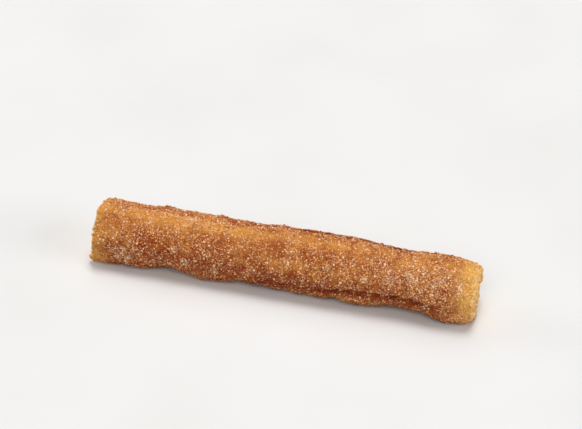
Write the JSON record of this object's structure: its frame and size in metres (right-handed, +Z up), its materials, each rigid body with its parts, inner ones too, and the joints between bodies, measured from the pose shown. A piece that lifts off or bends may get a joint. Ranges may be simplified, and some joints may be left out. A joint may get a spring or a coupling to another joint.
{
  "type": "churro",
  "caption": "Short, thick churro: a fried dough stick with soft lobes, cut off square at both ends and rolled in cinnamon sugar.",
  "frame": {"origin": "middle of the footprint, on the surface that the churro lies on", "axes": "+X along the stick, towards the end with the paler cut face, +Z up; the smooth broad lobe faces -Y and up"},
  "size_m": [0.1304, 0.0212, 0.0203],
  "materials": {
    "crust": "fried dough crust under a coat of cinnamon sugar",
    "sugar": "granulated sugar crystals",
    "cinnamon": "ground cinnamon"
  },
  "bodies": {
    "root": {"churro": "crust"}
  },
  "joints": []
}
